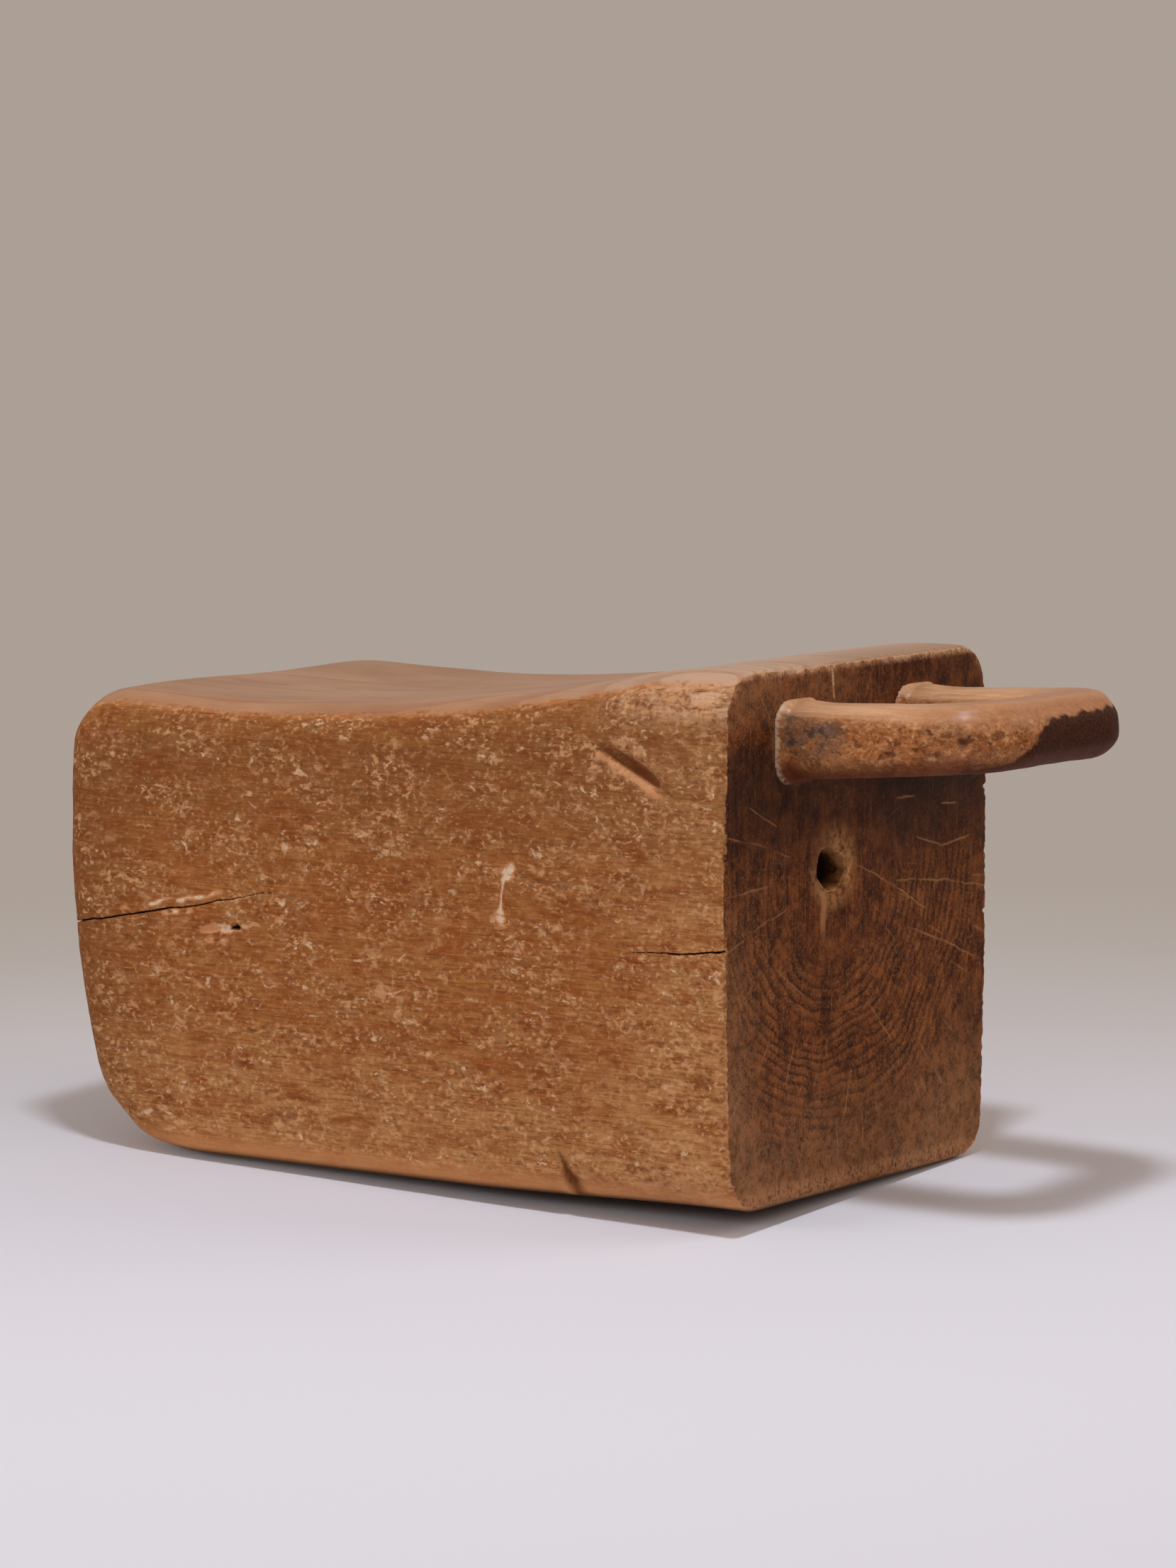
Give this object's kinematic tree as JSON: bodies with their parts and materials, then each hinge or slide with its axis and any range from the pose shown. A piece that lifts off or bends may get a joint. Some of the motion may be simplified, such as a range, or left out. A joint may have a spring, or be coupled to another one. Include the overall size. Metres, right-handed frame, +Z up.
{
  "type": "block stool with loop handle",
  "caption": "Low carved wooden block stool with a saddle seat and a loop handle let into one end for carrying it.",
  "frame": {"origin": "centre of the block's flat underside, on the floor", "axes": "+X along the log towards the handle, +Z up, -Y towards the long side that the picture shows"},
  "size_m": [0.551, 0.246, 0.267],
  "materials": {
    "block_wood": "dry weathered hardwood, worn pale at the edges, smooth on the seat, dark on the end grain",
    "handle_wood": "hardwood polished by hands, dark at the end grain of the bow"
  },
  "bodies": {
    "root": {"seat_block": "block_wood", "carry_handle": "handle_wood"}
  },
  "joints": []
}
